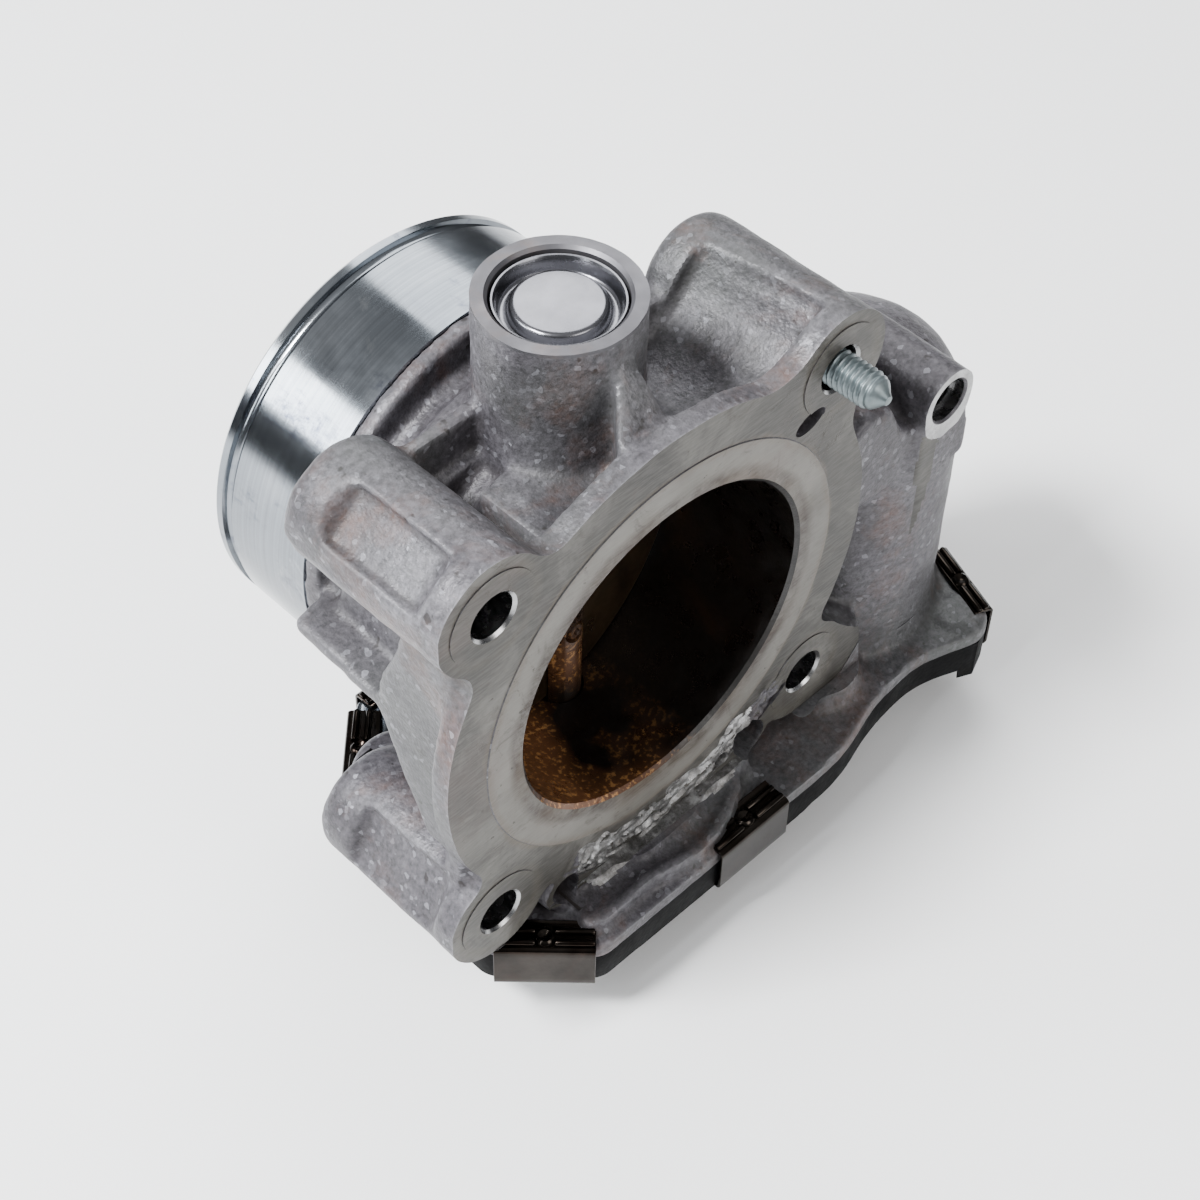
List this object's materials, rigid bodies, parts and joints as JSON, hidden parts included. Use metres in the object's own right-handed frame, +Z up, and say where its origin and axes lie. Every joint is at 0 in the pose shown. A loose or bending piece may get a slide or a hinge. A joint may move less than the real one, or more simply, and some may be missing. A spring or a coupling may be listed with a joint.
{
  "type": "electronic throttle body",
  "caption": "Cast throttle body with a butterfly on an upright shaft, square four-hole flange, turned inlet spigot, motor housing and clipped gear cover.",
  "frame": {"origin": "where the throttle shaft's axis meets the flat outer face of the gear cover, which the part stands on", "axes": "+Z up the throttle shaft to the plugged end, -Y out of the mounting flange, +Y out of the inlet, +X towards the motor"},
  "size_m": [0.1266, 0.0869, 0.1193],
  "materials": {
    "cast_housing": "as-cast, oily and stained; machined faces are smoother",
    "cover_plastic": "moulded black, fine texture",
    "seal_rubber": "matt",
    "clip_steel": "bright strip with brownish wear",
    "plug_steel": "drawn, semi-gloss",
    "bright_steel": "ground",
    "plate_brass": "rolled, stained",
    "zinc_steel": "zinc plated",
    "spring_steel": "drawn wire",
    "gear_plastic": "moulded natural plastic",
    "pinion_brass": "cut",
    "motor_steel": "plated sheet and laminations",
    "motor_plastic": "moulded",
    "copper": "bright copper",
    "ferrite": "sintered, dull",
    "circuit_board": "coated board",
    "pin_brass": "stamped",
    "bolt_zinc": "blue-white zinc plating"
  },
  "bodies": {
    "fixed": {"housing": "cast_housing", "gear_cover": "cover_plastic", "cover_seal": "seal_rubber", "clip_front_left": "clip_steel", "clip_front": "clip_steel", "clip_right": "clip_steel", "clip_rear_left": "clip_steel", "clip_rear": "clip_steel", "expansion_plug": "plug_steel", "upper_bearing": "bright_steel", "lower_bearing": "bright_steel", "upper_shaft_seal": "seal_rubber", "lower_shaft_seal": "seal_rubber", "return_spring": "spring_steel", "gear_pin": "bright_steel", "motor_can": "motor_steel", "motor_end_plate": "motor_plastic", "motor_magnet_front": "ferrite", "motor_magnet_rear": "ferrite", "motor_brush_left": "ferrite", "motor_brush_right": "ferrite", "motor_terminal_front": "copper", "motor_terminal_rear": "copper", "motor_screw_rear": "zinc_steel", "motor_screw_front": "zinc_steel", "motor_wave_spring": "spring_steel", "sensor_board": "circuit_board", "connector_pin_1": "pin_brass", "connector_pin_2": "pin_brass", "connector_pin_3": "pin_brass", "connector_pin_4": "pin_brass", "connector_pin_5": "pin_brass", "connector_pin_6": "pin_brass", "flange_bolt": "bolt_zinc"},
    "throttle": {"throttle_shaft": "bright_steel", "throttle_plate": "plate_brass", "plate_screw_upper": "zinc_steel", "plate_screw_lower": "zinc_steel", "sector_gear": "gear_plastic", "sensor_magnet": "ferrite"},
    "intermediate": {"intermediate_gear": "gear_plastic"},
    "rotor": {"motor_shaft": "bright_steel", "motor_armature": "motor_steel", "motor_commutator": "copper", "motor_pinion": "pinion_brass"}
  },
  "joints": [
    {"name": "throttle_hinge", "type": "hinge", "parent": "fixed", "child": "throttle", "pos_m": [0, 0, 0.065], "axis": [0, 0, 1], "range_deg": [-6, 78], "stiffness_Nm_per_rad": 0.08, "deforming": ["return_spring"]},
    {"name": "intermediate_hinge", "type": "hinge", "parent": "fixed", "child": "intermediate", "pos_m": [0.03009, 0.0008, 0.01], "axis": [0, 0, 1], "range_deg": [-312.1, 24.1]},
    {"name": "rotor_hinge", "type": "hinge", "parent": "fixed", "child": "rotor", "pos_m": [0.0619, -0.0035, 0.03], "axis": [0, 0, 1], "range_deg": [-85.8, 1114.4]}
  ],
  "couplings": [
    {"joint": "intermediate_hinge", "follows": "throttle_hinge", "ratio": -4},
    {"joint": "rotor_hinge", "follows": "throttle_hinge", "ratio": 14.286}
  ]
}
